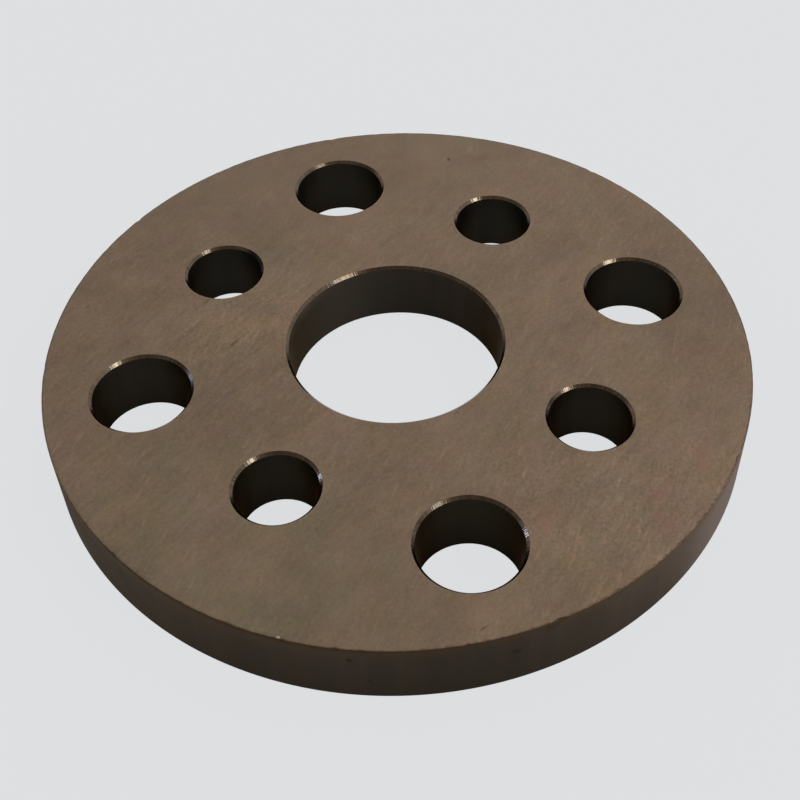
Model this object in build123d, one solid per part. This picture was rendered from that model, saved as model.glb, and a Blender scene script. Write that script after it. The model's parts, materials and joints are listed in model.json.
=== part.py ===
from build123d import *
from math import isclose
import os

# Clamping plate: a round flat disc of ground steel, turned, drilled and surface ground as one piece.
# It has a plain through bore in the middle, and two sets of through holes for bolts, where large and
# small ones take turns round the bore. The mouths of the bore and of the bolt holes are chamfered.
#
# Frame: millimetres, +Z up. The origin is at the centre of the back face, on the axis of the bore,
# so that the plate lies on the plane Z = 0. The large bolt holes are on the X and Y axes.

# The disc
plate_thickness = 12.7        # half an inch, between the two ground faces
rim_land = 8.5                # steel left between the wall of a large bolt hole and the rim
rim_edge_break = 0.2          # the rim is only deburred, so its corners are nearly sharp

# The bore in the middle
bore_diameter = 39.0
bore_chamfer = 0.5            # the same at both ends

# The bolt holes: as many large ones as small ones, each small one halfway between two large ones
holes_per_circle = 4
large_hole_diameter = 17.5    # clearance for a 5/8 inch or 16 mm bolt
large_hole_circle = 92.5      # diameter of the circle through their centres
small_hole_diameter = 14.3    # clearance for a 1/2 inch or 12 mm bolt
small_hole_circle = 77.0      # diameter of the circle through their centres
hole_face_chamfer = 0.5       # at the upper, working face
hole_back_chamfer = 0.15      # only deburred at the back

# Worked out from the values above
plate_diameter = large_hole_circle + large_hole_diameter + 2 * rim_land
hole_pitch_angle = 360 / holes_per_circle


def plate_outline():
    """The plate seen from above: the disc, less the bore and the two rings of bolt holes."""
    large_holes = PolarLocations(large_hole_circle / 2, holes_per_circle)
    small_holes = PolarLocations(small_hole_circle / 2, holes_per_circle, start_angle=hole_pitch_angle / 2)
    outline = Circle(plate_diameter / 2)
    outline -= Circle(bore_diameter / 2)
    outline -= large_holes * Circle(large_hole_diameter / 2)
    outline -= small_holes * Circle(small_hole_diameter / 2)
    return outline


def round_edges(plate, diameter, height):
    """The circular edges of one diameter at one height of the plate."""
    circles = plate.edges().filter_by(GeomType.CIRCLE)
    return [
        edge for edge in circles
        if isclose(2 * edge.radius, diameter) and isclose(edge.arc_center.Z, height, abs_tol=1e-6)
    ]


# Each diameter with its chamfer at the back face and at the working face
edge_cuts = (
    (plate_diameter, rim_edge_break, rim_edge_break),
    (bore_diameter, bore_chamfer, bore_chamfer),
    (large_hole_diameter, hole_back_chamfer, hole_face_chamfer),
    (small_hole_diameter, hole_back_chamfer, hole_face_chamfer),
)

clamping_plate = extrude(plate_outline(), amount=plate_thickness)
for diameter, back_cut, face_cut in edge_cuts:
    clamping_plate = chamfer(round_edges(clamping_plate, diameter, 0), back_cut)
    clamping_plate = chamfer(round_edges(clamping_plate, diameter, plate_thickness), face_cut)
clamping_plate.label = "clamping_plate"

os.makedirs("parts", exist_ok=True)
export_step(clamping_plate, "parts/clamping_plate.step")
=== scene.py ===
# %% [markdown]
# # A clamping plate of ground steel
#
# The object is one piece: a disc of steel, half an inch thick, with a bore in the middle and eight bolt
# holes round it. Nothing on it moves and nothing is fastened to it, so its whole look is in how each
# surface was cut. The flat faces were surface ground, which leaves fine slanting strokes. The rim was
# turned. The holes were drilled and bored, and their mouths were chamfered with a tool that chattered.
#
# The measured model comes first, because everything else is placed by it. Lengths are in metres.

# %% Load the measured model
import json
import math

import bmesh
import bpy
from mathutils import Matrix, Vector, noise


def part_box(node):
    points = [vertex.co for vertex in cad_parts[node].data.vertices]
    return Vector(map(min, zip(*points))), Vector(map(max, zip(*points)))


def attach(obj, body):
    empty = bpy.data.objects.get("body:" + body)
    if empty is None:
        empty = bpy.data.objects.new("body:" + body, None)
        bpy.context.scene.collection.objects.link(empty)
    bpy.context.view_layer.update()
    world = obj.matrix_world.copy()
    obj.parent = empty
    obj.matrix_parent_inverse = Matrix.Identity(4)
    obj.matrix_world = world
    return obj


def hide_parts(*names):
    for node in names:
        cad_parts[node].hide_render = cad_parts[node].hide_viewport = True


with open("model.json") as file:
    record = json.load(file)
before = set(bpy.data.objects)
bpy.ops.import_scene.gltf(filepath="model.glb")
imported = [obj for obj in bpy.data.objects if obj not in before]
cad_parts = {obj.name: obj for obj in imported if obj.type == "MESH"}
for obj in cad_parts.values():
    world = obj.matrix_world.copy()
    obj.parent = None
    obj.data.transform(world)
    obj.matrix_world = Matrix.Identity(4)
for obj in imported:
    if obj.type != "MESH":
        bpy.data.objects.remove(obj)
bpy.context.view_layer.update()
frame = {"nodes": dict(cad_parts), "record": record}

# %% [markdown]
# ## The sizes, read from the measured model
#
# The record states the radius of each hole and the circles that the bolt holes lie on, so they are read
# and not typed again. What it doesn't state is how wide the mouths are after chamfering. The mesh of the
# plate knows: of all its corners at the height of a face, the nearest to a hole's axis are on its mouth.
# The furthest from the middle of the plate are on the edge of the face, just inside the rim.

# %% Read the disc, the bore and the bolt holes
MM = 0.001
SAME_HEIGHT = 0.01 * MM

plate_node = frame["nodes"]["clamping_plate"]
low_corner, high_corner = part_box("clamping_plate")
thickness = high_corner[2] - low_corner[2]
plate_radius = (high_corner[0] - low_corner[0]) / 2
mounts = {mount["name"]: mount for mount in frame["record"]["mounts"]}


def distances(axis_place, height):
    """How far each corner of the plate at that height is from an upright axis."""
    corners = (corner.co for corner in plate_node.data.vertices)
    return [(corner - axis_place).to_2d().length for corner in corners
            if abs(corner.z - height) < SAME_HEIGHT]


def mouth_radius(axis_place, height):
    """The radius of a hole's mouth, chamfer included, in the face of that height."""
    return min(distances(axis_place, height))


def face_radius(height):
    """The radius of a flat face, which is a little less than the rim's."""
    return max(distances(Vector(), height))


def bolt_hole_places(mount, pitch_share):
    """The axes of one circle of bolt holes. The first is that share of their pitch off the X axis."""
    radius = mount["dims"]["pcd_mm"] / 2 * MM
    count = mount["dims"]["count"]
    angles = [math.tau * (turn + pitch_share) / count for turn in range(count)]
    return [Vector((radius * math.cos(angle), radius * math.sin(angle), 0)) for angle in angles]


large_places = bolt_hole_places(mounts["large_bolts"], 0)
small_places = bolt_hole_places(mounts["small_bolts"], 0.5)
bore_radius = mounts["bore"]["dims"]["r_mm"] * MM
large_radius = mounts["large_bolts"]["dims"]["hole_r_mm"] * MM
small_radius = mounts["small_bolts"]["dims"]["hole_r_mm"] * MM
print("disc", plate_radius, "thick", thickness, "mouth of the bore", mouth_radius(Vector(), thickness))

# %% [markdown]
# ## The camera
#
# The photograph looks down on the plate at about 45 degrees. The line through the large holes is turned
# a little from the picture's level, which gives the azimuth. Then three small turns of the camera about
# its own axes put the plate where it is in the frame: a pan, a tilt, and a roll, because the camera was
# held slightly askew. All of these were found by fitting the outlines of the face and of the holes.
#
# The photograph shows the lower part of what its lens saw, so the plate's near side looks a little taller
# than it would in the middle. A lens shift does the same. It is kept to half of what the photograph has,
# because the other views keep it too.

# %% Place the camera
PICTURE_WIDTH = 800
SENSOR_WIDTH = 36
view_azimuth = -102.81
view_elevation = 45.404
view_distance = 3.5881 * plate_radius
view_pan = math.radians(-0.329)
view_tilt = math.radians(2.703)
view_roll = math.radians(2.550)
focal_pixels = 1249.7
centre_row = 280


def direction(azimuth, elevation):
    """A direction, from its angle round the plate and its height above the floor, in degrees."""
    azimuth, elevation = math.radians(azimuth), math.radians(elevation)
    return Vector((math.cos(azimuth) * math.cos(elevation), math.sin(azimuth) * math.cos(elevation),
                   math.sin(elevation)))


def camera_turn(forward):
    """The directions to the camera's right, up and back, as the columns of a turn."""
    right = forward.cross(Vector((0, 0, 1))).normalized()
    up = right.cross(forward)
    pan = Matrix.Rotation(view_pan, 3, up)
    forward, right = pan @ forward, pan @ right
    tilt = Matrix.Rotation(view_tilt, 3, right)
    forward, up = tilt @ forward, tilt @ up
    roll = Matrix.Rotation(view_roll, 3, forward)
    right, up = roll @ right, roll @ up
    return Matrix((right, up, -forward)).transposed()


to_camera = direction(view_azimuth, view_elevation)
face_centre = Vector((0, 0, thickness))
camera_place = Matrix.Translation(face_centre + to_camera * view_distance)

lens_data = bpy.data.cameras.new("camera")
lens_data.sensor_width = SENSOR_WIDTH
lens_data.lens = focal_pixels * SENSOR_WIDTH / PICTURE_WIDTH
lens_data.shift_y = (centre_row - PICTURE_WIDTH / 2) / PICTURE_WIDTH
camera = bpy.data.objects.new("camera", lens_data)
camera.matrix_world = camera_place @ camera_turn(-to_camera).to_4x4()
bpy.context.scene.collection.objects.link(camera)
bpy.context.scene.camera = camera
bpy.context.scene.view_settings.view_transform = "Standard"
print("camera at", camera.location[:], "lens", lens_data.lens)

# %% [markdown]
# ## Writing shaders as sums
#
# A material is easier to read as arithmetic than as a list of nodes and links. A small class stands for
# one socket, and its operators add Math nodes. The reflected forms, such as `__rsub__`, are there so that
# `1 - mask` works as well as `mask - 1`.


# %% Sockets that can be added up
class Signal:
    """A value that runs through a shader."""

    def __init__(self, finish, socket):
        self.finish = finish
        self.socket = socket

    def math(self, operation, *others):
        """Add a Math node that takes this value first."""
        return self.finish.node("ShaderNodeMath", dict(enumerate((self, *others))), operation=operation)

    def __add__(self, other):
        return self.math("ADD", other)

    def __sub__(self, other):
        return self.math("SUBTRACT", other)

    def __mul__(self, other):
        return self.math("MULTIPLY", other)

    def __neg__(self):
        return self.math("MULTIPLY", -1)

    def __rsub__(self, other):
        return (-self) + other

    __radd__ = __add__
    __rmul__ = __mul__


# %% [markdown]
# All other nodes come from one method. It takes the kind of node, the values or links of its inputs, and
# its settings, which are set first, because some of them change which inputs a node has.


# %% Nodes of every other kind
class Finish:
    """A node tree that is being written, for a material or for the world."""

    def __init__(self, owner):
        self.owner = owner
        owner.use_nodes = True
        self.tree = owner.node_tree
        self.tree.nodes.clear()

    def node(self, kind, inputs=None, output=0, **settings):
        """Add a node, and give back the output that is named or numbered."""
        added = self.tree.nodes.new(kind)
        for name, setting in settings.items():
            setattr(added, name, setting)
        for name, value in (inputs or {}).items():
            if isinstance(value, Signal):
                self.tree.links.new(value.socket, added.inputs[name])
            else:
                added.inputs[name].default_value = value
        return Signal(self, added.outputs[output]) if added.outputs else added

    def surface(self, shader):
        """End a material's tree."""
        self.node("ShaderNodeOutputMaterial", {"Surface": shader})


def new_finish(name):
    """The empty node tree of a new material."""
    return Finish(bpy.data.materials.new(name))


# %% [markdown]
# ## A few shader phrases
#
# Ground steel is described with the same few ideas again and again: noise without a direction, noise drawn
# out along one, a smooth step between two values, and the sway of noise about its middle. Each gets a
# short function here. Places are in millimetres inside the shaders, since the marks are that small.

# %% Phrases for patterns
rim_mm = plate_radius / MM
top_mm = thickness / MM
print("in millimetres, the rim is at", rim_mm, "and the working face at", top_mm)


def millimetres(finish):
    """The place on the object, in millimetres."""
    place = finish.node("ShaderNodeTexCoord", output="Object")
    return finish.node("ShaderNodeVectorMath", {0: place, "Scale": 1 / MM}, operation="SCALE")


def height_of(finish, place):
    """How high a place lies above the back face."""
    return finish.node("ShaderNodeSeparateXYZ", {0: place}, output="Z")


def length_of(finish, vector):
    """How long a vector is."""
    return finish.node("ShaderNodeVectorMath", {0: vector}, output="Value", operation="LENGTH")


def cloud(finish, place, size, detail=2.0, roughness=0.5):
    """Soft noise whose patches are about the given size across, from 0 to 1 with a middle of 0.5."""
    return finish.node("ShaderNodeTexNoise", {
        "Vector": place, "Scale": 1 / size, "Detail": detail, "Roughness": roughness})


def strokes(finish, place, angle, length, width, detail=2.0, shift=0.0):
    """Noise drawn out along one direction, like the strokes that a grinding wheel leaves."""
    along = finish.node("ShaderNodeMapping", {
        "Vector": place, "Location": (shift, shift, shift),
        "Rotation": (0, 0, angle), "Scale": (length, width, width)}, vector_type="TEXTURE")
    return cloud(finish, along, size=1.0, detail=detail)


def step(finish, value, low, high):
    """0 up to low, 1 from high on, and a smooth rise between them. With low above high, it falls."""
    return finish.node("ShaderNodeMapRange", {
        "Value": value, "From Min": low, "From Max": high}, interpolation_type="SMOOTHSTEP")


def sway(value, amount):
    """A value from 0 to 1 as a change up or down, of half that amount at most."""
    return (value - 0.5) * amount


# %% [markdown]
# Colours can't go through Math nodes, which would turn them grey. They are mixed, and the Mix node has a
# set of sockets for each kind of thing that it mixes, all with the same names. So those for colours are
# called by their numbers.

# %% Phrases for colours
MIX_SHARE, MIX_FIRST, MIX_SECOND, MIX_RESULT = 0, 6, 7, 2
channel_wander = Vector((1.0, 0.4, 1.2))


def tint(finish, colour, amount, other, blend="MIX"):
    """A colour mixed with another by an amount."""
    return finish.node("ShaderNodeMix", {MIX_SHARE: amount, MIX_FIRST: colour, MIX_SECOND: other},
                       output=MIX_RESULT, data_type="RGBA", blend_type=blend)


def lighten(finish, colour, factor):
    """A colour made lighter or darker by a factor that varies over the surface."""
    grey = finish.node("ShaderNodeCombineColor", {"Red": factor, "Green": factor, "Blue": factor})
    return tint(finish, colour, 1.0, grey, blend="MULTIPLY")


def drift(finish, colour, place, size, amount):
    """Let the red, the green and the blue of a colour wander, each by itself, and the green least."""
    wander = finish.node("ShaderNodeTexNoise", {
        "Vector": place, "Scale": 1 / size, "Detail": 5.0, "Roughness": 0.75}, output="Color")
    share = channel_wander * amount
    around_one = finish.node("ShaderNodeVectorMath", {
        0: wander, 1: share, 2: Vector((1, 1, 1)) - share / 2}, operation="MULTIPLY_ADD")
    return tint(finish, colour, 1.0, around_one, blend="MULTIPLY")


# %% [markdown]
# Marks could be painted on an image, but that needs an unwrapped mesh, and is only as sharp as the image.
# Here every mark on the plate is an oval: its distance from a middle is measured in half lengths and half
# widths, so that 1 is its border. The fade runs across that border, and a little noise added to the
# distance makes the border ragged.
#
# Last comes the metal itself. A fine relief catches the light from the side. Its edge tint is the colour
# that it turns to when it is seen at a slant.

# %% Phrases for marks and for metal
# a mark starts to show at the first of these distances, and is full at the second
MARK_OUTSIDE = 1.3
MARK_INSIDE = 0.4

# the turn that sets the grooves level, as a share of a full turn
LEVEL_GROOVES = 0.25


def blot(finish, place, ragged, centre, size, degrees):
    """1 inside an oval mark, fading to 0 outside it. All but the angle is in millimetres."""
    inside = finish.node("ShaderNodeMapping", {
        "Vector": place, "Location": centre, "Rotation": (0, 0, math.radians(degrees)),
        "Scale": Vector(size) / 2}, vector_type="TEXTURE")
    return step(finish, length_of(finish, inside) + ragged, MARK_OUTSIDE, MARK_INSIDE)


def on_circle(centre, radius, degrees, height):
    """A place on the rim or at a hole, in millimetres, from its angle round the circle and its height."""
    angle = math.radians(degrees)
    return ((centre.x + radius * math.cos(angle)) / MM, (centre.y + radius * math.sin(angle)) / MM, height)


def metal(finish, colour, roughness, height, relief, edge=(1, 1, 1, 1), grooved=0.0):
    """A metal surface with a small relief. Level grooves spread a light up and down, by that much."""
    bump = finish.node("ShaderNodeBump", {"Height": height, "Distance": relief, "Strength": 1.0})
    return finish.node("ShaderNodeBsdfPrincipled", {
        "Base Color": colour, "Metallic": 1.0, "Roughness": roughness, "Normal": bump,
        "Specular Tint": edge, "Anisotropic": grooved, "Anisotropic Rotation": LEVEL_GROOVES})


# %% [markdown]
# ## Marks on the working face
#
# The plate has been handled. Its upper face has a few dark specks and one short scratch, some pale smudges,
# and rusty pink stains beside the holes. They are placed from the photograph, in millimetres from the
# middle of the plate. Each is an oval with a ragged edge, and it reaches only about a millimetre into the
# steel, so that the back stays clean. Under them lie a few broad, soft patches that are a little lighter,
# darker or greener than the rest.

# %% Marks of use
MARK_DEPTH = 2.0

speck_colour = (0.070, 0.050, 0.036, 1)
smudge_colour = (0.250, 0.190, 0.140, 1)
rust_colour = (0.230, 0.118, 0.088, 1)
# the colour of a painted highlight on the edge of the face
painted_highlight_colour = (0.480, 0.410, 0.330, 1)

face_blots = (
    # colour, how strong, then where the middle is, the length, the width and the angle in degrees
    (speck_colour, 0.85, 24.5, 48.9, 1.0, 0.7, 70),
    (speck_colour, 0.60, -28.7, 7.2, 2.6, 0.6, 42),
    (speck_colour, 0.35, -22.5, -37.0, 0.8, 0.5, 52),
    (speck_colour, 0.65, -2.5, -61.2, 1.9, 0.35, 20),
    (speck_colour, 0.40, -54.0, 24.6, 1.3, 0.5, 0),
    (speck_colour, 0.35, -31.8, 19.8, 1.2, 0.6, 30),
    (speck_colour, 0.30, -27.5, 18.4, 1.2, 0.6, 60),
    (speck_colour, 0.30, -46.2, 19.2, 1.0, 0.6, 50),
    (speck_colour, 0.30, -43.2, 17.6, 0.9, 0.5, 10),
    (speck_colour, 0.25, -22.8, -1.8, 3.2, 0.5, 58),
    (speck_colour, 0.22, -24.0, -0.4, 2.4, 0.4, 55),
    (smudge_colour, 0.45, 29.8, 50.8, 2.4, 1.2, 50),
    (smudge_colour, 0.35, 32.3, 44.5, 2.0, 1.0, 60),
    # a painted highlight
    (painted_highlight_colour, 0.80, -32.0, -54.4, 0.7, 0.4, -30),
    (rust_colour, 0.30, 13.3, -44.9, 7.0, 4.2, 62),
    (rust_colour, 0.18, 24.2, -50.6, 2.4, 1.8, 0),
    (rust_colour, 0.50, 31.7, -45.9, 2.8, 2.2, 20),
    (rust_colour, 0.42, 34.2, -43.9, 3.0, 1.8, 40),
    (rust_colour, 0.50, 30.2, -49.8, 3.0, 2.2, 10),
    (rust_colour, 0.46, 30.9, -51.6, 2.8, 1.8, 60),
    (rust_colour, 0.38, 29.0, -52.2, 2.6, 1.6, 30),
    (rust_colour, 0.22, 41.5, -41.0, 7.0, 3.5, 60),
)

faint_patches = (
    # the share of red, green and blue, then the middle, the length, the width and the angle in degrees
    ((0.965, 1.000, 1.000), 21, -42, 11, 8, 40),
    ((1.145, 1.128, 1.112), -25, 15, 38, 30, 30),
    ((0.870, 0.870, 0.885), 56, -5, 26, 50, 0),
    ((0.972, 1.015, 1.005), -38, -38, 66, 46, -40),
    ((1.075, 1.060, 1.090), 30, -50, 28, 20, 0),
    ((1.080, 1.080, 1.050), 23, 1, 14, 14, 0),
    ((0.900, 0.960, 0.950), -33, -51, 15, 8, -35),
)


def face_blot(finish, place, ragged, x, y, length, width, degrees):
    """1 inside an oval mark on the working face, and 0 on the back."""
    return blot(finish, place, ragged, (x, y, top_mm), (length, width, MARK_DEPTH), degrees)


def face_marks(finish, place, colour):
    """The colour of the face with its marks on it."""
    for share, *oval in faint_patches:
        patch = face_blot(finish, place, 0, *oval)
        colour = tint(finish, colour, patch, (*share, 1), blend="MULTIPLY")
    ragged = sway(cloud(finish, place, size=0.9, detail=4.0), 2.2)
    for mark_colour, strength, *oval in face_blots:
        mark = face_blot(finish, place, ragged, *oval)
        colour = tint(finish, colour, mark * strength, mark_colour)
    return colour


print(len(face_blots), "marks on the face,", len(faint_patches), "faint patches")

# %% [markdown]
# ## The strokes of the grinding wheel
#
# A surface grinder leaves thousands of short strokes, all slanting the same way, with the odd deeper
# scratch among them. A picture of ground steel could give them, but it would repeat itself. Here they are
# layers of drawn-out noise at slightly different angles. Each reads the noise at another place, so that no
# layer repeats another. Three of them are kept whole. Of the flecks and the scratches only the extremes
# are kept, as single dark and pale dashes. A plain grit is laid over all, since seen this close the steel
# is nearly as grainy across the strokes as along them.
#
# In two areas the strokes are fainter, where the face was wiped with oil, and in two they are stronger.

# %% Strokes and grit
stroke_angle = 47
GRIT_SIZE = 0.6
GRIT_STRENGTH = 0.46

stroke_layers = {
    # turned off the main angle in degrees, length and width in millimetres, detail, shift of the noise
    "fine": (0, 1.5, 0.22, 2.0, 0.0),
    "crossing": (15, 2.2, 0.28, 2.0, 31.0),
    "broad": (-10, 6.0, 1.1, 2.0, 57.0),
    "flecks": (3, 1.1, 0.35, 1.0, 83.0),
    "scratches": (5, 4.0, 0.75, 1.0, 101.0),
}

# how much each layer that is kept whole changes the lightness
whole_layers = {"fine": 0.19, "crossing": 0.15, "broad": 0.34}

dashes = (
    # layer, the value at which a dash starts to show, the value at which it is full, how much lighter
    ("flecks", 0.65, 0.74, -0.07),
    ("flecks", 0.37, 0.26, 0.12),
    ("scratches", 0.38, 0.22, 0.17),
)

wiped_areas = (
    # how much fainter the strokes are, then the middle, the length, the width and the angle in degrees
    (0.45, 0, 56, 110, 44, 0),
    (0.28, -26, -49, 62, 40, -20),
    (-0.40, 24, -44, 44, 30, 0),
    (-0.45, -27, 11, 34, 24, 30),
)
print(len(stroke_layers), "layers of strokes at about", stroke_angle, "degrees")


def grinding_strokes(finish, place):
    """Each layer of strokes, by its name."""
    return {name: strokes(finish, place, math.radians(stroke_angle + turned), *drawn)
            for name, (turned, *drawn) in stroke_layers.items()}


def grain_of(finish, place, layers):
    """How much lighter or darker the strokes and the grit make the face."""
    grain = sway(cloud(finish, place, size=GRIT_SIZE), GRIT_STRENGTH)
    for name, strength in whole_layers.items():
        grain = grain + sway(layers[name], strength)
    for name, shows, full, lighter in dashes:
        grain = grain + step(finish, layers[name], shows, full) * lighter
    return grain


def stroke_strength(finish, place):
    """How strong the strokes are: 1 on most of the face, and less where it was wiped."""
    strength = 1.0
    for fainter, *oval in wiped_areas:
        strength = strength - face_blot(finish, place, 0, *oval) * fainter
    return strength


# %% [markdown]
# ## Painted shade at the corner
#
# Where the face meets the rim, shade is painted into the colour. The face darkens in its last half
# millimetre, and what lies below its level, on the broken corner itself, is darker still. At the front left
# the painted shade is weaker.
#
# Blender can look for corners by itself and calls that pointiness, but what it finds depends on how fine
# the mesh is. The distance from the plate's axis and the height say exactly where this corner is.

# %% The corner between the face and the rim
# the colours of the painted shade by the rim and on the broken corner
edge_shade_colour = (0.068, 0.046, 0.031, 1)
corner_shade_colour = (0.022, 0.015, 0.010, 1)
CORNER_STRENGTH = 0.9

# in millimetres, outwards from the rim and upwards from the face
SHADE_FROM, SHADE_TO = -0.45, 0.05
CORNER_FROM, CORNER_TO = -0.02, -0.10
RAGGED_OUT, RAGGED_UP = 0.7, 0.05

# where the painted shade is weaker, and how much it takes off the darkening of the face and of the corner
weak_shade_angle = -142
weak_shade_size = 100
OFF_FACE, OFF_CORNER = 0.4, 0.6


def painted_corner_shade(finish, place, colour):
    """The colour of the face with painted shade, darker towards the rim and darkest on the broken corner.
    """
    ragged = sway(cloud(finish, place, size=0.8, detail=3.0), 1.0)
    flat_place = finish.node("ShaderNodeVectorMath", {0: place, 1: (1, 1, 0)}, operation="MULTIPLY")
    off_axis = length_of(finish, flat_place) + ragged * RAGGED_OUT
    height = height_of(finish, place) + ragged * RAGGED_UP
    near_rim = step(finish, off_axis, rim_mm + SHADE_FROM, rim_mm + SHADE_TO)
    below_face = step(finish, height, top_mm + CORNER_FROM, top_mm + CORNER_TO)
    weak_shade_place = on_circle(Vector(), plate_radius, weak_shade_angle, top_mm)
    weak_shade = blot(finish, place, 0, weak_shade_place, (weak_shade_size,) * 3, 0)
    colour = tint(finish, colour, near_rim * (1.0 - weak_shade * OFF_FACE), edge_shade_colour)
    return tint(finish, colour, below_face * (CORNER_STRENGTH - weak_shade * OFF_CORNER), corner_shade_colour)


# %% [markdown]
# ## The ground faces
#
# Under the strokes lie broad, faint clouds, in which red, green and blue each wander by themselves, as
# coolant that dried on the steel does. The strokes are in the colour and also in the relief, so that they
# catch the light from the side. The broad ones change the gloss a little too.

# %% The finish of the ground faces
ground_colour = (0.1965, 0.1395, 0.0955, 1)
GROUND_LEVEL = 0.98
GROUND_ROUGHNESS = 0.44
GROUND_RELIEF = 0.012 * MM


def ground_steel():
    """The finish of the two flat faces."""
    finish = new_finish("ground_steel")
    place = millimetres(finish)
    layers = grinding_strokes(finish, place)
    mottle = cloud(finish, place, size=9.0, detail=4.0, roughness=0.6)
    patch = cloud(finish, place, size=25.0, detail=1.0)
    level = GROUND_LEVEL + grain_of(finish, place, layers) * stroke_strength(finish, place)
    level = level + sway(mottle, 0.56) + sway(patch, 0.20)
    colour = drift(finish, lighten(finish, ground_colour, level), place, size=8.0, amount=0.36)
    colour = face_marks(finish, place, colour)
    colour = painted_corner_shade(finish, place, colour)
    roughness = GROUND_ROUGHNESS + sway(layers["broad"], 0.12) + sway(mottle, 0.10)
    relief = layers["fine"] * 0.6 + layers["crossing"] * 0.4
    finish.surface(metal(finish, colour, roughness, relief, GROUND_RELIEF))
    return finish.owner


# %% [markdown]
# ## The turned rim and the walls of the holes
#
# What a lathe or a drill cuts follows the hole and not the plate, so these finishes need to know where
# they are round the hole. The mesh will carry that as an attribute called `around`: the place on the
# hole's circle in millimetres, and a number for the hole. Noise read there has no seam where a turn
# closes, and it is the same all the way down a wall or across a chamfer.
#
# A turned surface has fine level grooves. They smear a light up and down and not sideways, which is why
# the rim is brightest at the side that faces the window. The grooves are about a tenth of a millimetre
# apart, which is too fine to model. So they are a relief in the shader, and the shader does the smearing
# too, by what it calls anisotropy.

# %% The finish of what was turned or drilled
LINE_STRETCH = 0.02
TURNED_RELIEF = 0.004 * MM
BROAD_MARK = 10.0
WARM_FROM = 0.80
warm_colour = (0.066, 0.043, 0.024, 1)


def round_place(finish):
    """The place round a hole or the rim, in millimetres."""
    return finish.node("ShaderNodeAttribute", output="Vector", attribute_name="around")


def ring_lines(finish, place, pitch):
    """Fine level lines, one above the other, as a turning tool leaves."""
    squeezed = finish.node("ShaderNodeVectorMath", {
        0: place, 1: (LINE_STRETCH, LINE_STRETCH, 1 / pitch)}, operation="MULTIPLY")
    return cloud(finish, squeezed, size=1.0, detail=1.0)


def turned_steel(name, base, rise, roughness, pitch, edge, grooved=0.0, stained=0.2, warm_top=0.0,
                 marks=()):
    """Steel cut by a turning tool or a drill, dull, and painted much darker than the face as painted shade.

    Base is its colour halfway up, and rise is how much lighter it is painted at the upper end than at the
    lower: painted shade that darkens the lower end.
    Pitch is the distance between its grooves, in millimetres. Edge is its tint when seen at a slant, and
    stained is how far its colours wander. A warm top is an oily band under the upper corner. A broad mark
    has a soft border, and a small one has a ragged border.
    """
    finish = new_finish(name)
    place = millimetres(finish)
    around = round_place(finish)
    height = height_of(finish, place) * (1 / top_mm)
    lines = ring_lines(finish, place, pitch)
    mottle = cloud(finish, place, size=4.0, detail=3.0)
    runs = cloud(finish, around, size=2.5)
    uneven = 1 + sway(lines, 0.25) + sway(mottle, 0.40) + sway(runs, 0.35)
    # painted shade: the colour darkens towards the lower end of the wall
    colour = lighten(finish, base, (1 + sway(height, rise)) * uneven)
    colour = drift(finish, colour, around, size=5.0, amount=stained)
    ragged = sway(cloud(finish, place, size=0.7), 1.2)
    for mark_colour, strength, centre, size, degrees in marks:
        border = 0 if max(size) > BROAD_MARK else ragged
        mark = blot(finish, place, border, centre, size, degrees)
        colour = tint(finish, colour, mark * strength, mark_colour)
    if warm_top:
        colour = tint(finish, colour, step(finish, height, WARM_FROM, 1.0) * warm_top, warm_colour)
    dullness = roughness + sway(mottle, 0.15)
    finish.surface(metal(finish, colour, dullness, lines, TURNED_RELIEF, edge, grooved))
    return finish.owner


# %% [markdown]
# ## What is on the rim and in the bore
#
# The rim is painted paler on the side towards the window, as painted light, and darker at the front and at
# the left, as painted shade. These marks are broad and soft. A few pits and smears are small and ragged.
# Each is given by its angle round the plate, which puts it on the rim, and it reaches a little way into the
# steel, because the rim curves away from a flat oval. In the bore, the side that faces the window is
# painted paler, as painted light.

# %% Marks on the rim and in the bore
# painted light on the rim, then two colours of painted shade
painted_rim_light_colour = (0.096, 0.080, 0.068, 1)
painted_rim_shade_colour = (0.022, 0.018, 0.0125, 1)
thin_painted_rim_shade_colour = (0.022, 0.018, 0.0140, 1)
warm_band_colour = (0.090, 0.064, 0.041, 1)
# real pits on the rim, and painted shade on the chamfers
pit_and_shade_colour = (0.008, 0.006, 0.005, 1)
# painted light on the side of the bore that faces the window
painted_bore_light_colour = (0.062, 0.052, 0.041, 1)
painted_bore_light_size = 36

rim_blots = (
    # colour, how strong, the angle round the plate in degrees, the height, the width and how tall it is
    # the first mark is painted light, the next two are painted shade
    (painted_rim_light_colour, 0.74, -42.0, 6.0, 38, 60),
    (painted_rim_shade_colour, 0.85, -172.0, 6.0, 58, 60),
    (thin_painted_rim_shade_colour, 0.32, -88.0, 5.0, 42, 60),
    (warm_band_colour, 0.50, -132.0, 12.7, 66, 5),
    (pit_and_shade_colour, 0.60, -110.8, 9.9, 1.0, 0.8),
    (pit_and_shade_colour, 0.30, -108.3, 4.6, 0.8, 0.8),
    (pit_and_shade_colour, 0.45, -88.3, 8.1, 1.8, 1.2),
    (pit_and_shade_colour, 0.50, -83.1, 11.9, 2.6, 1.8),
    (pit_and_shade_colour, 0.35, 20.0, 7.0, 2.0, 1.4),
    (pit_and_shade_colour, 0.50, 96.0, 5.2, 1.4, 1.0),
    (pit_and_shade_colour, 0.45, 158.0, 9.0, 1.2, 1.6),
)


def rim_mark(colour, strength, degrees, height, width, tall):
    """A mark on the rim, turned so that its first axis points outwards."""
    centre = on_circle(Vector(), plate_radius, degrees, height)
    depth = max(MARK_DEPTH, width / 2)
    return colour, strength, centre, (depth, width, tall), degrees


rim_marks = [rim_mark(*rim_blot) for rim_blot in rim_blots]
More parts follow.
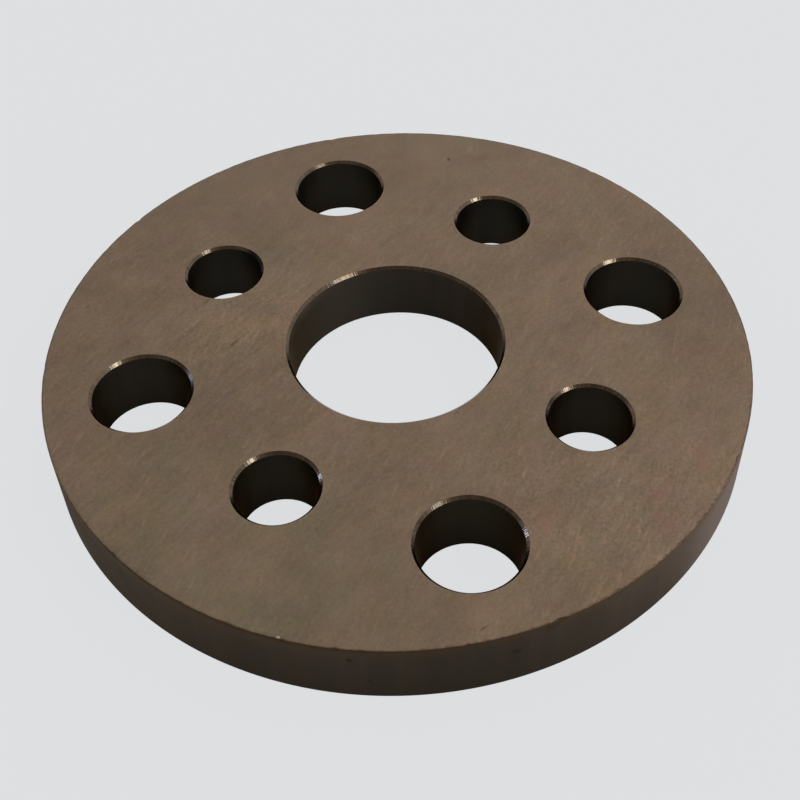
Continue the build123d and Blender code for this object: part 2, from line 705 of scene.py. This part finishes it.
# painted light where the bore's wall faces the window
painted_bore_light_place = on_circle(Vector(), bore_radius, degrees=137, height=top_mm * 0.6)
bore_marks = [(painted_bore_light_colour, 0.55, painted_bore_light_place, (painted_bore_light_size,) * 3, 0)]
print(len(rim_marks), "marks on the rim")

# %% [markdown]
# ## The chamfers
#
# The chamfering tool chattered, so a chamfer is a ring of tiny glossy facets that lean this way and that.
# In the photograph some of them flash, where they mirror a lamp, and their neighbours stay dark. The facets
# are a noise round the hole that changes every third of a millimetre, in the colour and in the relief. Some
# chamfers have a dark patch of painted shade on one side. Where a patch is also duller, it has no flashes.

# %% The finish of the chamfers
FACET = 0.32
CHAMFER_GRIT = 0.30
CHAMFER_ROUGHNESS = 0.14
CHAMFER_RELIEF = 0.04 * MM
SHADE_PATCH_SIZE = 8.0

# dark patches of painted shade on one side of some chamfers
chamfer_shade_patches = (
    # how dark, how much duller, the hole's axis and radius, and which side of it in degrees
    (0.97, 0.39, small_places[1], small_radius, 17),
    (0.40, 0.16, large_places[1], large_radius, 25),
    (0.20, 0.08, large_places[1], large_radius, 105),
    (0.15, 0.06, large_places[3], large_radius, 107),
    (0.35, 0.14, large_places[2], large_radius, 12),
    (0.60, 0, large_places[3], large_radius, 148),
    (0.45, 0, large_places[0], large_radius, 150),
    (0.76, 0, small_places[3], small_radius, 150),
    (0.12, 0, small_places[2], small_radius, 130),
)


def chamfer_steel(name, base):
    """The glossy finish of a chamfer, in facets."""
    finish = new_finish(name)
    place = millimetres(finish)
    around = round_place(finish)
    facets = cloud(finish, around, size=FACET)
    grit = cloud(finish, place, size=CHAMFER_GRIT)
    uneven = cloud(finish, around, size=5.0)
    level = 1 + sway(facets, 1.6) + sway(grit, 0.5) + sway(uneven, 1.3)
    colour = drift(finish, lighten(finish, base, level), around, size=3.0, amount=0.5)
    roughness = CHAMFER_ROUGHNESS + sway(grit, 0.06)
    for strength, dulling, axis_place, radius, degrees in chamfer_shade_patches:
        centre = on_circle(axis_place, radius, degrees, top_mm)
        shade_patch = blot(finish, place, 0, centre, (SHADE_PATCH_SIZE,) * 3, 0)
        # painted shade on one side of the chamfer
        colour = tint(finish, colour, shade_patch * strength, pit_and_shade_colour)
        roughness = roughness + shade_patch * dulling
    relief = facets * 0.7 + grit * 0.3
    finish.surface(metal(finish, colour, roughness, relief, CHAMFER_RELIEF))
    return finish.owner


# %% [markdown]
# Now the finishes are made, in the order in which the plate will hold them. A face of a mesh names its
# finish by its place in that list, so each place gets a name here.

# %% Make the finishes
plate_finishes = [
    ground_steel(),
    # the bases of the rim and the walls are painted far darker than the face's steel: painted shade
    turned_steel("turned_rim", base=(0.0475, 0.0375, 0.0295, 1), rise=0.55, roughness=0.55, pitch=0.09,
                 edge=(0.82, 0.71, 0.61, 1), grooved=0.7, stained=0.5, warm_top=0.7, marks=rim_marks),
    chamfer_steel("hole_chamfer", base=(0.096, 0.072, 0.051, 1)),
    # the bore's chamfer is the same steel as the holes', painted a little darker as shade
    chamfer_steel("bore_chamfer", base=(0.086, 0.0635, 0.045, 1)),
    turned_steel("bored_wall", base=(0.0335, 0.0272, 0.0215, 1), rise=0.45, roughness=0.50, pitch=0.12,
                 edge=(0.46, 0.41, 0.36, 1), grooved=0.6, marks=bore_marks),
    turned_steel("drilled_wall", base=(0.0250, 0.0218, 0.0172, 1), rise=0.80, roughness=0.50, pitch=0.15,
                 edge=(0.42, 0.38, 0.33, 1)),
]
GROUND, RIM, HOLE_CHAMFER, BORE_CHAMFER, BORED, DRILLED = range(len(plate_finishes))
print("finishes", [finish.name for finish in plate_finishes])

# %% [markdown]
# ## The plate itself
#
# The measured model has the right shape, but its round walls are made of flat strips, and its corners are
# as perfect as a drawing. The real rim has small nicks. So the plate is modelled again on the same sizes.
# A disc with holes cut by booleans would do, but they leave long thin faces at a hole, which shade
# unevenly. Here each wall is made the way it was machined, as a section that spin turns round its axis.
#
# Every section runs a little way out onto the flat faces. That collar takes up the small shifts of the
# worn corner, so that the long triangles of the flat face stay flat. The rim's section also has a few
# rings close to its upper corner, one on the face and three down the side, for the nicks to fade out over.

# %% The sections of the walls
COLLAR = 1.2 * MM
CORNER_STEPS = 4
RINGS = (2.5, 4, 6)


def hole_section(radius, back_mouth, face_mouth):
    """The wall of a hole with its two chamfers, as radius and height from the face to the back."""
    face_cut = face_mouth - radius
    back_cut = back_mouth - radius
    return [(face_mouth + COLLAR, thickness), (face_mouth, thickness), (radius, thickness - face_cut),
            (radius, back_cut), (back_mouth, 0), (back_mouth + COLLAR, 0)]


def rim_section():
    """The rim: a collar on the face, the broken corner rounded in small steps, the side, and the back.

    The rings are placed in widths of the broken corner.
    """
    corner = plate_radius - face_radius(thickness)
    section = [(plate_radius - COLLAR, thickness), (plate_radius - RINGS[0] * corner, thickness)]
    for turn in range(CORNER_STEPS + 1):
        angle = turn / CORNER_STEPS * math.pi / 2
        section.append((plate_radius - corner + corner * math.sin(angle),
                        thickness - corner + corner * math.cos(angle)))
    section += [(plate_radius, thickness - depth * corner) for depth in RINGS]
    section += [(plate_radius, corner), (plate_radius - corner, 0), (plate_radius - COLLAR, 0)]
    return section


print("the rim's section has", len(rim_section()), "points")

# %% [markdown]
# Each wall is turned in a mesh of its own and joined to the plate afterwards, because spin takes longer
# the more its mesh already holds. Each corner of the mesh gets its `around` value here, while it is still
# known which wall it is on. What is left open is the two flat faces, which triangle_fill closes between
# the rim and the mouths.

# %% Turn the rim and the holes
RIM_STEPS = 1440
BORE_STEPS = 480
HOLE_STEPS = 240
RIM_NUMBER = 1
BORE_NUMBER = 2


def turn_section(plate, number, centre, section, radius, steps):
    """Turn a section about an upright axis and join it to the plate.

    The attribute keeps where each corner is on the circle of that radius in millimetres, and the number.
    """
    wall = bmesh.new()
    around = wall.verts.layers.float_vector.new("around")
    corners = [wall.verts.new((centre.x + out, centre.y, height)) for out, height in section]
    lines = [wall.edges.new(pair) for pair in zip(corners, corners[1:])]
    bmesh.ops.spin(wall, geom=corners + lines, cent=centre, axis=(0, 0, 1), angle=math.tau,
                   steps=steps, use_merge=True)
    for corner in wall.verts:
        on_wall = (corner.co - centre).to_2d().normalized() * (radius / MM)
        corner[around] = (*on_wall, number)
    turned = bpy.data.meshes.new("turned")
    wall.to_mesh(turned)
    wall.free()
    plate.from_mesh(turned)
    bpy.data.meshes.remove(turned)


def lies_at(edge, height):
    """Whether both ends of an edge are at that height."""
    return all(abs(corner.co.z - height) < SAME_HEIGHT for corner in edge.verts)


def close_face(mesh, height):
    """Fill one flat face between the open edges that lie at its height."""
    open_edges = [edge for edge in mesh.edges if edge.is_boundary and lies_at(edge, height)]
    upward = 1 if height > 0 else -1
    bmesh.ops.triangle_fill(mesh, use_beauty=True, edges=open_edges, normal=(0, 0, upward))


holes = [(Vector(), bore_radius, BORE_STEPS)]
holes += [(place, large_radius, HOLE_STEPS) for place in large_places]
holes += [(place, small_radius, HOLE_STEPS) for place in small_places]

plate_mesh = bmesh.new()
turn_section(plate_mesh, RIM_NUMBER, Vector(), rim_section(), plate_radius, RIM_STEPS)
for number, (place, radius, steps) in enumerate(holes, start=BORE_NUMBER):
    section = hole_section(radius, mouth_radius(place, 0), mouth_radius(place, thickness))
    turn_section(plate_mesh, number, place, section, radius, steps)
close_face(plate_mesh, thickness)
close_face(plate_mesh, 0)
bmesh.ops.recalc_face_normals(plate_mesh, faces=plate_mesh.faces)
around_layer = plate_mesh.verts.layers.float_vector["around"]
open_count = sum(edge.is_boundary for edge in plate_mesh.edges)
print("plate has", len(plate_mesh.faces), "faces and", open_count, "open edges")

# %% [markdown]
# ## Wear on the rim
#
# The upper corner of the rim was only deburred by hand, so it isn't quite even, and a few knocks have
# pushed it in. A displacement texture could wear it, but each nick has to be where the photograph has it.
# So how far the corner has worn back is worked out for each angle: a slow wander with a quicker ripple on
# it, and the nicks, which are listed. The wander and the ripple are noise that is read on a circle, so that
# they close where the turn does. On a larger circle the noise changes more quickly.

# %% How deep the rim is worn
WANDER = 0.05 * MM
WANDER_CIRCLE = 40.0
RIPPLE_CIRCLE = 160.0
RIPPLE_SHARE = 0.4

rim_nicks = (
    # angle round the plate in degrees, half width and depth in millimetres
    (-148.5, 0.7, 0.16), (-135.2, 0.5, 0.10), (-128.0, 0.9, 0.18), (-121.2, 0.5, 0.12),
    (-119.9, 0.6, 0.16), (-112.7, 0.5, 0.20), (-109.3, 0.8, 0.14), (-95.0, 0.5, 0.10),
    (-82.1, 1.0, 0.16), (-60.0, 0.6, 0.10), (-42.0, 0.9, 0.16), (35.0, 0.6, 0.10),
    (88.0, 0.8, 0.14), (131.0, 0.6, 0.12), (170.0, 0.8, 0.12),
)


def wear_depth(angle):
    """How far the corner has worn back at an angle round the rim."""
    wander = noise.noise(Vector((math.cos(angle), math.sin(angle), 0)) * WANDER_CIRCLE)
    ripple = noise.noise(Vector((math.cos(angle), math.sin(angle), 0.5)) * RIPPLE_CIRCLE)
    depth = WANDER * max(0.0, 0.5 + wander + RIPPLE_SHARE * ripple)
    for degrees, half_width, nick_depth in rim_nicks:
        off = math.remainder(angle - math.radians(degrees), math.tau) * plate_radius / (half_width * MM)
        depth += nick_depth * MM * math.exp(-off * off)
    return depth


deepest = max(wear_depth(math.radians(degrees)) for degrees, half_width, nick_depth in rim_nicks)
print("the deepest nick is", deepest / MM, "millimetres deep")

# %% [markdown]
# The corner's points move inwards and down in equal parts, as a knock on a corner pushes them. The wear is
# full at the corner and has faded out about half a millimetre from it.

# %% Wear the upper corner of the rim
WEAR_REACH = 0.55 * MM
worn_points = 0

for corner in plate_mesh.verts:
    if corner[around_layer].z != RIM_NUMBER:
        continue
    from_axis = corner.co.to_2d().length
    off_corner = math.hypot(plate_radius - from_axis, thickness - corner.co.z)
    share = max(0.0, 1 - off_corner / WEAR_REACH)
    if share:
        depth = wear_depth(math.atan2(corner.co.y, corner.co.x)) * share
        outward = Vector((corner.co.x, corner.co.y, 0)).normalized()
        corner.co -= (outward + Vector((0, 0, 1))) * depth * math.sqrt(0.5)
        worn_points += 1
print(worn_points, "points of the corner were worn")

# %% [markdown]
# ## Give each surface its finish
#
# A plate with so many small faces can't be sorted by hand. The direction that a face looks in tells what
# cut it: straight up or down is ground, level is the rim or the wall of a hole, and anything between is a
# chamfer or the corner of the rim. The number that each corner carries tells which wall it is on.

# %% Sort the surfaces
# how far up the direction of a face points: 1 is straight up, and 0 is level
FLAT_ENOUGH = 0.98
FLAT_AT_RIM = 0.7
LEANING = 0.2


def finish_of(face):
    """Which finish a face of the plate has."""
    number = min(round(corner[around_layer].z) for corner in face.verts)
    upright = abs(face.normal.z)
    if number == RIM_NUMBER:
        return GROUND if upright > FLAT_AT_RIM else RIM
    if upright > FLAT_ENOUGH:
        return GROUND
    if upright > LEANING:
        return BORE_CHAMFER if number == BORE_NUMBER else HOLE_CHAMFER
    return BORED if number == BORE_NUMBER else DRILLED


plate_mesh.normal_update()
for face in plate_mesh.faces:
    face.material_index = finish_of(face)
    face.smooth = True
for number, finish in enumerate(plate_finishes):
    print(finish.name, "is on", sum(face.material_index == number for face in plate_mesh.faces), "faces")

# %% [markdown]
# The finished mesh becomes an object that takes the place of the measured plate. Corners sharper than a
# set angle stay sharp, and everything else is shaded round.

# %% Make the object
SHARP_ANGLE = math.radians(28)

plate_data = bpy.data.meshes.new("worn_plate")
plate_mesh.to_mesh(plate_data)
plate_mesh.free()
plate_data.set_sharp_from_angle(angle=SHARP_ANGLE)
for finish in plate_finishes:
    plate_data.materials.append(finish)
plate = bpy.data.objects.new("worn_plate", plate_data)
bpy.context.scene.collection.objects.link(plate)
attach(plate, "root")
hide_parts("clamping_plate")
print("plate made,", len(plate_data.polygons), "faces")

# %% [markdown]
# ## The floor
#
# The plate lies on a plain pale floor. To the camera and in reflections the floor shows mostly its own
# pale colour, so that the background stays even, and the rest of it is a matt surface, which keeps the
# shadow under the plate. The photograph has almost no shadow, so the matt share is small.
#
# The floor is a hair lower than the plate's back, because two surfaces at one height flicker through each
# other. It can't be seen from below, so that a view from there shows the back of the plate.

# %% Lay the floor
pale = (0.708, 0.723, 0.738)
FLOOR_GLOW = 1.037
FLOOR_SIZE = 12
FLOOR_GAP = 0.03 * MM
SHADOW_SHARE = 0.05

floor_mesh = bmesh.new()
bmesh.ops.create_grid(floor_mesh, x_segments=1, y_segments=1, size=FLOOR_SIZE / 2,
                      matrix=Matrix.Translation((0, 0, -FLOOR_GAP)))
floor_data = bpy.data.meshes.new("floor")
floor_mesh.to_mesh(floor_data)
floor_mesh.free()
floor = bpy.data.objects.new("floor", floor_data)
bpy.context.scene.collection.objects.link(floor)


def shows_background(finish):
    """1 for rays that should see the plain background: from the camera, or mirrored, or through glass."""
    rays = [finish.node("ShaderNodeLightPath", output=name)
            for name in ("Is Camera Ray", "Is Glossy Ray", "Is Transmission Ray")]
    return rays[0].math("MAXIMUM", rays[1]).math("MAXIMUM", rays[2])


def pale_floor():
    """The floor's finish."""
    finish = new_finish("pale_floor")
    matt = finish.node("ShaderNodeBsdfDiffuse", {"Color": (*pale, 1)})
    glow = finish.node("ShaderNodeEmission", {"Color": (*pale, 1), "Strength": FLOOR_GLOW})
    share = shows_background(finish) * (1 - SHADOW_SHARE)
    seen = finish.node("ShaderNodeMixShader", {0: share, 1: matt, 2: glow})
    underside = finish.node("ShaderNodeNewGeometry", output="Backfacing")
    clear = finish.node("ShaderNodeBsdfTransparent")
    finish.surface(finish.node("ShaderNodeMixShader", {0: underside, 1: seen, 2: clear}))
    return finish.owner


floor_data.materials.append(pale_floor())
print("floor laid", FLOOR_GAP, "metres below the plate")

# %% [markdown]
# ## The light of the room
#
# The room is lit from all round, more from the right, where its window is, than from the left, and least
# from behind the camera, where the light is also warmer. That gives the face its slow change from left to
# right, and it keeps those chamfers dark that face the camera. A pale wall at the back left is mirrored in
# the far part of the face. A picture of a room could give such a light. Here it is worked out from the
# direction alone, so that each part of it has a name and can be changed by itself. The camera sees a plain
# pale background instead of all this.

# %% Light the room
LEFT_LIGHT = 0.36
RIGHT_LIGHT = 1.10
CAMERA_SIDE_LIGHT = 0.55
CAMERA_SIDE_REACH = 0.55
PALE_WALL_LIGHT = 0.45
PALE_WALL_EDGE, PALE_WALL_CORE = 0.90, 0.99
to_window = direction(azimuth=2, elevation=15)
to_pale_wall = direction(azimuth=137, elevation=17)
room_colour = (1, 0.985, 0.97, 1)
camera_side_colour = (1, 0.86, 0.72, 1)


def towards(finish, looking, way):
    """How far a ray looks that way: 1 straight at it, and -1 straight away from it."""
    return finish.node("ShaderNodeVectorMath", {0: looking, 1: way}, output="Value",
                       operation="DOT_PRODUCT")


def light_room():
    """Write the world's light, direction by direction."""
    finish = Finish(bpy.context.scene.world or bpy.data.worlds.new("room"))
    bpy.context.scene.world = finish.owner
    looking = finish.node("ShaderNodeTexCoord", output="Generated")
    window = step(finish, towards(finish, looking, to_window), -1.0, 1.0)
    pale_wall = step(finish, towards(finish, looking, to_pale_wall), PALE_WALL_EDGE, PALE_WALL_CORE)
    behind = step(finish, towards(finish, looking, to_camera), CAMERA_SIDE_REACH, 1.0)
    level = LEFT_LIGHT + window * (RIGHT_LIGHT - LEFT_LIGHT) + pale_wall * PALE_WALL_LIGHT
    level = level * (1 - behind * (1 - CAMERA_SIDE_LIGHT))
    colour = tint(finish, room_colour, behind, camera_side_colour)
    plain = finish.node("ShaderNodeBackground", {"Color": (*pale, 1), "Strength": 1.0})
    lit = finish.node("ShaderNodeBackground", {"Color": colour, "Strength": level})
    camera_ray = finish.node("ShaderNodeLightPath", output="Is Camera Ray")
    mixed = finish.node("ShaderNodeMixShader", {0: camera_ray, 1: lit, 2: plain})
    finish.node("ShaderNodeOutputWorld", {"Surface": mixed})


light_room()
print("the room's light goes from", LEFT_LIGHT, "on the left to", RIGHT_LIGHT, "on the right")

# %% [markdown]
# ## The lamps
#
# Three lamps stand in the room. One on the right makes the sparks on the left side of every chamfer. A
# long low one, the window sill, lights the right side of the rim. A small blue one low at the back left
# makes the sparks on the right side of the chamfers. A lamp's brightness is given as that of its face, so
# that it can be moved and resized without changing how bright its mirror image is.


# %% Set up the lamps
def lamp(name, azimuth, elevation, distance, width, height, radiance, colour):
    """A flat lamp that looks at the plate and isn't seen by the camera."""
    data = bpy.data.lights.new(name, "AREA")
    data.shape = "RECTANGLE"
    data.size = width
    data.size_y = height
    data.energy = math.pi * width * height * radiance
    data.color = colour
    placed = bpy.data.objects.new(name, data)
    outward = direction(azimuth, elevation)
    turn = outward.to_track_quat("Z", "Y").to_matrix().to_4x4()
    placed.matrix_world = Matrix.Translation(outward * distance) @ turn
    placed.visible_camera = False
    bpy.context.scene.collection.objects.link(placed)
    print(name, "of", round(data.energy, 2), "watts")


lamp("right_lamp", azimuth=-48, elevation=39, distance=1.5, width=0.30, height=0.56,
     radiance=8.5, colour=(0.94, 1.0, 0.98))
lamp("window_sill", azimuth=-12, elevation=3, distance=3.0, width=2.0, height=0.28,
     radiance=27.0, colour=(0.92, 0.87, 1.0))
lamp("left_lamp", azimuth=146, elevation=10, distance=0.9, width=0.035, height=0.13,
     radiance=52.0, colour=(0.42, 0.62, 1.0))
